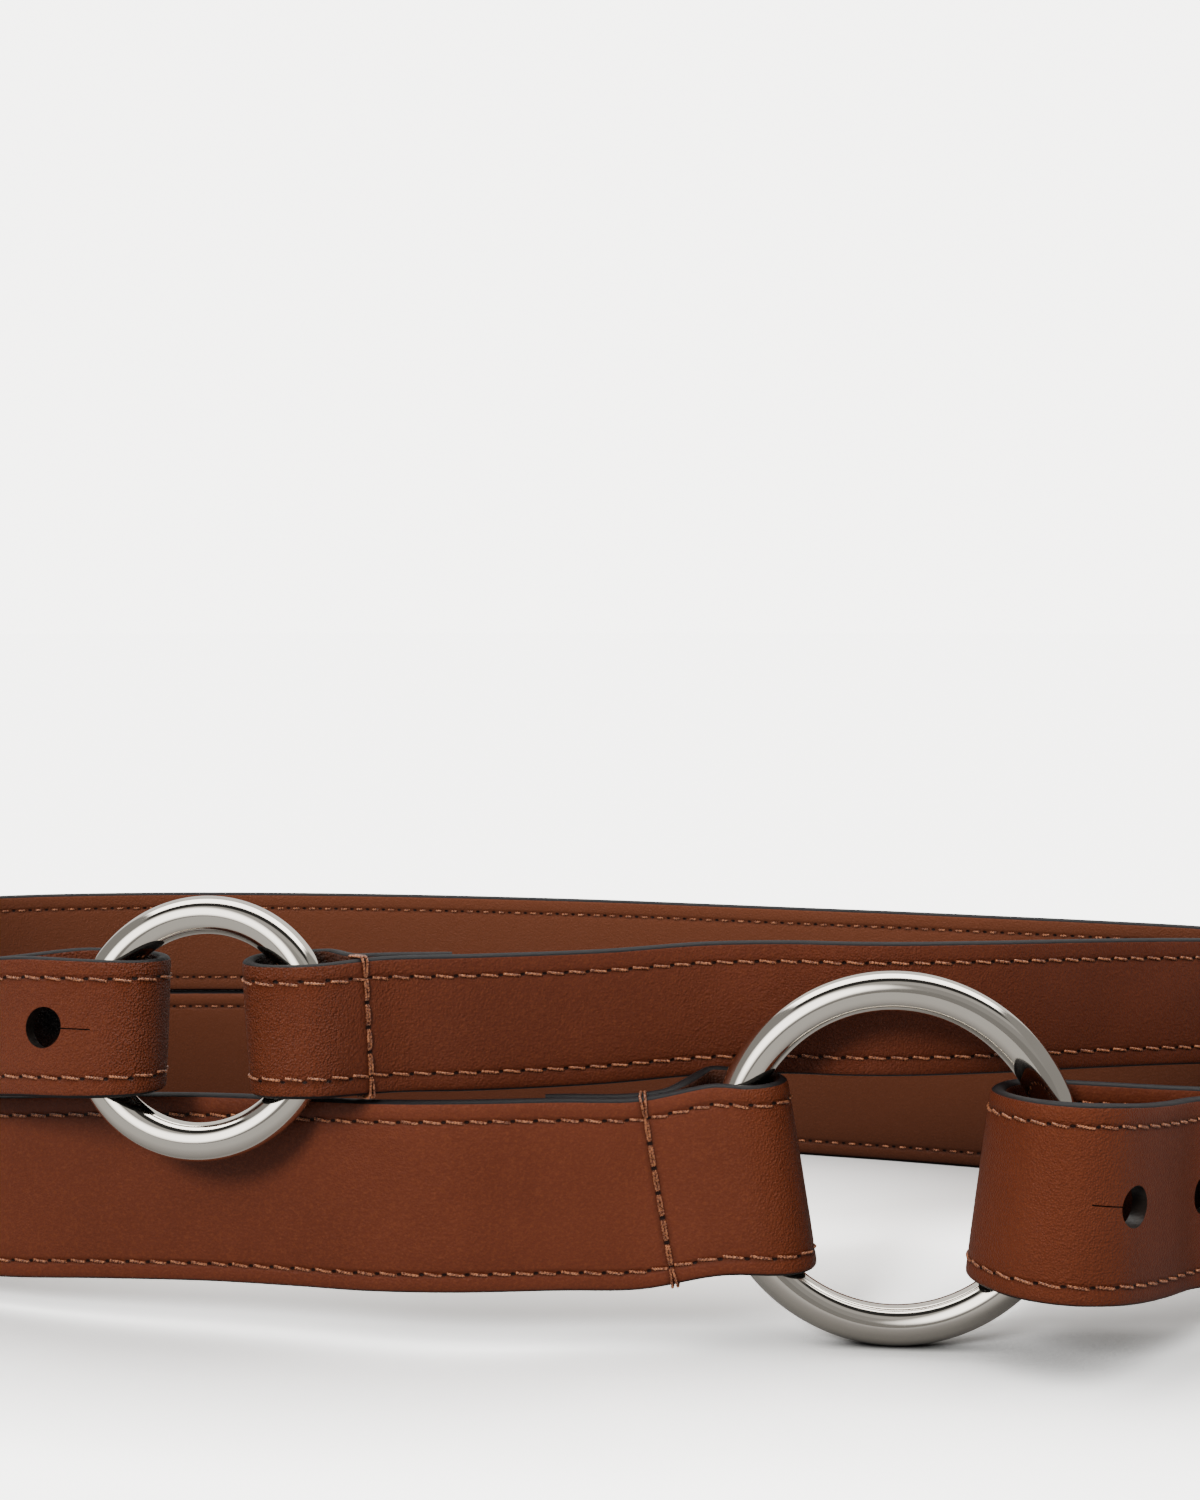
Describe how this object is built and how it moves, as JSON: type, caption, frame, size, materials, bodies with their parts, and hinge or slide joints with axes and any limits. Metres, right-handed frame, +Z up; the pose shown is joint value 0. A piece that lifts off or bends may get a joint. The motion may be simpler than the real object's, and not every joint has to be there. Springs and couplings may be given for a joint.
{
  "type": "o-ring belt",
  "caption": "Leather belt of two stacked straps, each closed in front on a polished round ring and held by a tail with holes.",
  "frame": {"origin": "centre of the belt's box in plan, at the floor that the large ring and the wide strap stand on", "axes": "+Z up, -Y toward the front with the two rings, +X to the right seen from the front, the large ring's side"},
  "size_m": [0.374, 0.2006, 0.0809],
  "materials": {
    "wide_strap": "smooth, dark painted edges",
    "narrow_strap": "smooth, dark painted edges",
    "large_ring": "polished",
    "small_ring": "polished",
    "wide_stud": "polished",
    "narrow_stud": "polished"
  },
  "bodies": {
    "root": {"wide_strap": "wide_strap", "narrow_strap": "narrow_strap", "large_ring": "large_ring", "small_ring": "small_ring", "wide_stud": "wide_stud", "narrow_stud": "narrow_stud"}
  },
  "joints": []
}
